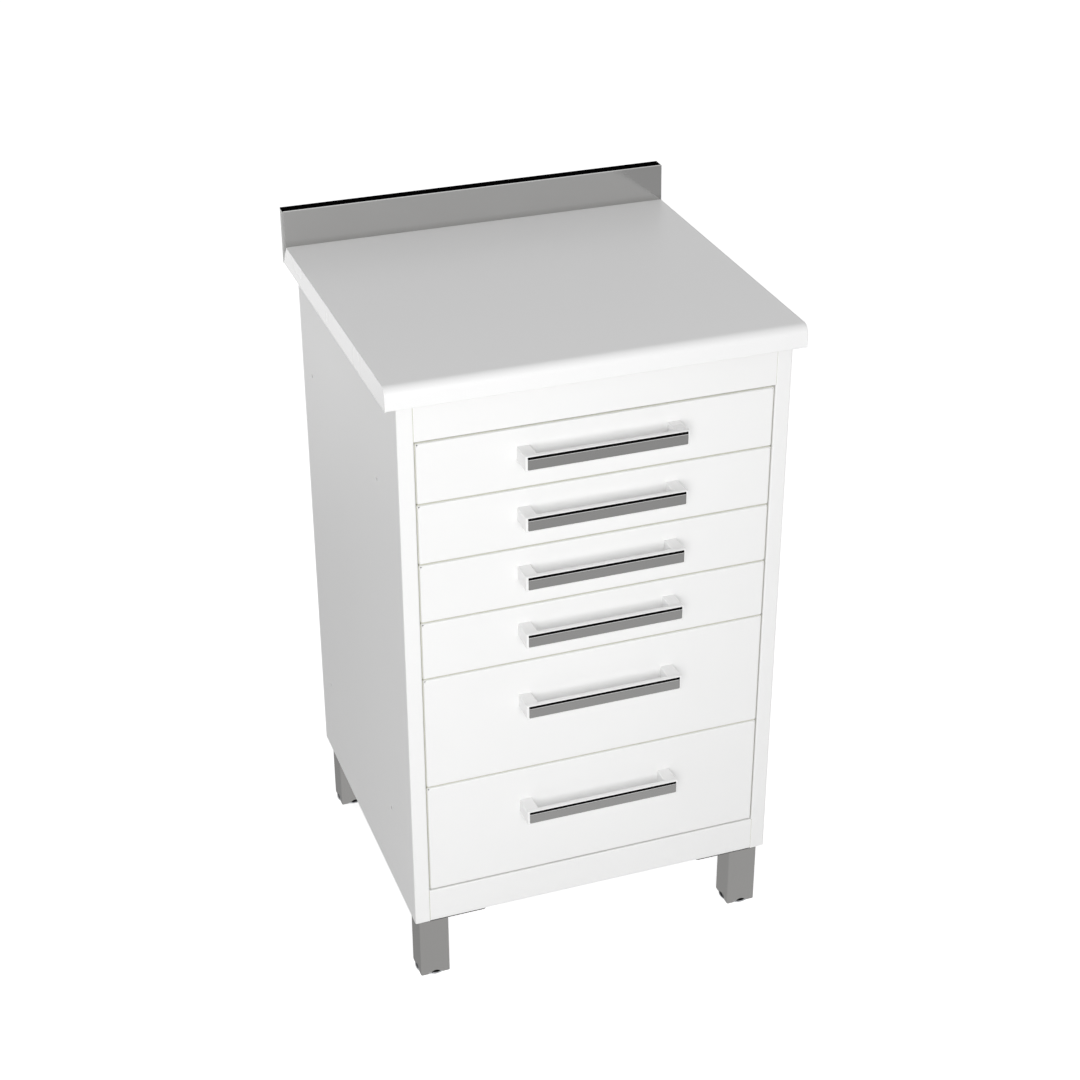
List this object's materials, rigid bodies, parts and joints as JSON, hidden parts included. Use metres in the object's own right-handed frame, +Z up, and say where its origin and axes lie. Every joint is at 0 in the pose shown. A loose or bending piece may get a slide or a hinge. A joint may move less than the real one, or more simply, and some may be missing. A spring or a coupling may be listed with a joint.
{
  "type": "dental cabinet with drawers",
  "caption": "Floor-standing white steel drawer cabinet with laminate worktop and steel upstand, on square legs with levelling feet; drawers slide on telescopic runners",
  "frame": {"origin": "on the floor, in the middle of the cabinet's overall width and depth (the worktop's and upstand's reach, handles included)", "axes": "+X from the cabinet's left to its right as seen from the front, +Y from its front to its back, +Z up"},
  "size_m": [0.5304, 0.508, 0.9232],
  "materials": {
    "white_painted_steel": "powder coated, satin",
    "white_handle_enamel": "powder coated, smooth",
    "white_laminate": "fine matt laminate",
    "polished_steel": "polished",
    "zinc_plated_steel": "zinc plated",
    "black_rubber": "moulded, matt",
    "dark_plastic": "moulded"
  },
  "bodies": {
    "cabinet": {"left_side": "white_painted_steel", "right_side": "white_painted_steel", "back_panel": "white_painted_steel", "back_screws": "zinc_plated_steel", "base_panel": "white_painted_steel", "top_rail": "white_painted_steel", "bottom_rail": "white_painted_steel", "rear_stretcher": "zinc_plated_steel", "worktop": "white_laminate", "worktop_screws": "zinc_plated_steel", "upstand": "polished_steel", "upstand_seal": "black_rubber", "front_left_leg": "polished_steel", "front_right_leg": "polished_steel", "back_left_leg": "polished_steel", "back_right_leg": "polished_steel", "leg_inserts": "dark_plastic", "leg_bolts": "zinc_plated_steel", "runner_posts": "zinc_plated_steel", "fixed_runners": "zinc_plated_steel"},
    "drawer_1": {"drawer_1_front": "white_painted_steel", "drawer_1_tray": "white_painted_steel", "drawer_1_handle": "white_handle_enamel", "drawer_1_handle_strip": "polished_steel", "drawer_1_runners": "zinc_plated_steel"},
    "drawer_1_middle": {"drawer_1_middle_runners": "zinc_plated_steel"},
    "drawer_2": {"drawer_2_front": "white_painted_steel", "drawer_2_tray": "white_painted_steel", "drawer_2_handle": "white_handle_enamel", "drawer_2_handle_strip": "polished_steel", "drawer_2_runners": "zinc_plated_steel"},
    "drawer_2_middle": {"drawer_2_middle_runners": "zinc_plated_steel"},
    "drawer_3": {"drawer_3_front": "white_painted_steel", "drawer_3_tray": "white_painted_steel", "drawer_3_handle": "white_handle_enamel", "drawer_3_handle_strip": "polished_steel", "drawer_3_runners": "zinc_plated_steel"},
    "drawer_3_middle": {"drawer_3_middle_runners": "zinc_plated_steel"},
    "drawer_4": {"drawer_4_front": "white_painted_steel", "drawer_4_tray": "white_painted_steel", "drawer_4_handle": "white_handle_enamel", "drawer_4_handle_strip": "polished_steel", "drawer_4_runners": "zinc_plated_steel"},
    "drawer_4_middle": {"drawer_4_middle_runners": "zinc_plated_steel"},
    "drawer_5": {"drawer_5_front": "white_painted_steel", "drawer_5_tray": "white_painted_steel", "drawer_5_handle": "white_handle_enamel", "drawer_5_handle_strip": "polished_steel", "drawer_5_runners": "zinc_plated_steel"},
    "drawer_5_middle": {"drawer_5_middle_runners": "zinc_plated_steel"},
    "drawer_6": {"drawer_6_front": "white_painted_steel", "drawer_6_tray": "white_painted_steel", "drawer_6_handle": "white_handle_enamel", "drawer_6_handle_strip": "polished_steel", "drawer_6_runners": "zinc_plated_steel"},
    "drawer_6_middle": {"drawer_6_middle_runners": "zinc_plated_steel"},
    "front_left_levelling_foot": {"front_left_foot": "zinc_plated_steel"},
    "front_right_levelling_foot": {"front_right_foot": "zinc_plated_steel"},
    "back_left_levelling_foot": {"back_left_foot": "zinc_plated_steel"},
    "back_right_levelling_foot": {"back_right_foot": "zinc_plated_steel"}
  },
  "joints": [
    {"name": "drawer_1_slide", "type": "slide", "parent": "cabinet", "child": "drawer_1", "axis": [0, -1, 0], "range_m": [0, 0.38]},
    {"name": "drawer_1_middle_slide", "type": "slide", "parent": "cabinet", "child": "drawer_1_middle", "axis": [0, -1, 0], "range_m": [0, 0.19]},
    {"name": "drawer_2_slide", "type": "slide", "parent": "cabinet", "child": "drawer_2", "axis": [0, -1, 0], "range_m": [0, 0.38]},
    {"name": "drawer_2_middle_slide", "type": "slide", "parent": "cabinet", "child": "drawer_2_middle", "axis": [0, -1, 0], "range_m": [0, 0.19]},
    {"name": "drawer_3_slide", "type": "slide", "parent": "cabinet", "child": "drawer_3", "axis": [0, -1, 0], "range_m": [0, 0.38]},
    {"name": "drawer_3_middle_slide", "type": "slide", "parent": "cabinet", "child": "drawer_3_middle", "axis": [0, -1, 0], "range_m": [0, 0.19]},
    {"name": "drawer_4_slide", "type": "slide", "parent": "cabinet", "child": "drawer_4", "axis": [0, -1, 0], "range_m": [0, 0.38]},
    {"name": "drawer_4_middle_slide", "type": "slide", "parent": "cabinet", "child": "drawer_4_middle", "axis": [0, -1, 0], "range_m": [0, 0.19]},
    {"name": "drawer_5_slide", "type": "slide", "parent": "cabinet", "child": "drawer_5", "axis": [0, -1, 0], "range_m": [0, 0.38]},
    {"name": "drawer_5_middle_slide", "type": "slide", "parent": "cabinet", "child": "drawer_5_middle", "axis": [0, -1, 0], "range_m": [0, 0.19]},
    {"name": "drawer_6_slide", "type": "slide", "parent": "cabinet", "child": "drawer_6", "axis": [0, -1, 0], "range_m": [0, 0.38]},
    {"name": "drawer_6_middle_slide", "type": "slide", "parent": "cabinet", "child": "drawer_6_middle", "axis": [0, -1, 0], "range_m": [0, 0.19]},
    {"name": "front_left_foot_screw", "type": "slide", "parent": "cabinet", "child": "front_left_levelling_foot", "axis": [0, 0, -1], "range_m": [0, 0.01]},
    {"name": "front_right_foot_screw", "type": "slide", "parent": "cabinet", "child": "front_right_levelling_foot", "axis": [0, 0, -1], "range_m": [0, 0.01]},
    {"name": "back_left_foot_screw", "type": "slide", "parent": "cabinet", "child": "back_left_levelling_foot", "axis": [0, 0, -1], "range_m": [0, 0.01]},
    {"name": "back_right_foot_screw", "type": "slide", "parent": "cabinet", "child": "back_right_levelling_foot", "axis": [0, 0, -1], "range_m": [0, 0.01]}
  ],
  "couplings": [
    {"joint": "drawer_1_middle_slide", "follows": "drawer_1_slide", "ratio": 0.5},
    {"joint": "drawer_2_middle_slide", "follows": "drawer_2_slide", "ratio": 0.5},
    {"joint": "drawer_3_middle_slide", "follows": "drawer_3_slide", "ratio": 0.5},
    {"joint": "drawer_4_middle_slide", "follows": "drawer_4_slide", "ratio": 0.5},
    {"joint": "drawer_5_middle_slide", "follows": "drawer_5_slide", "ratio": 0.5},
    {"joint": "drawer_6_middle_slide", "follows": "drawer_6_slide", "ratio": 0.5}
  ]
}
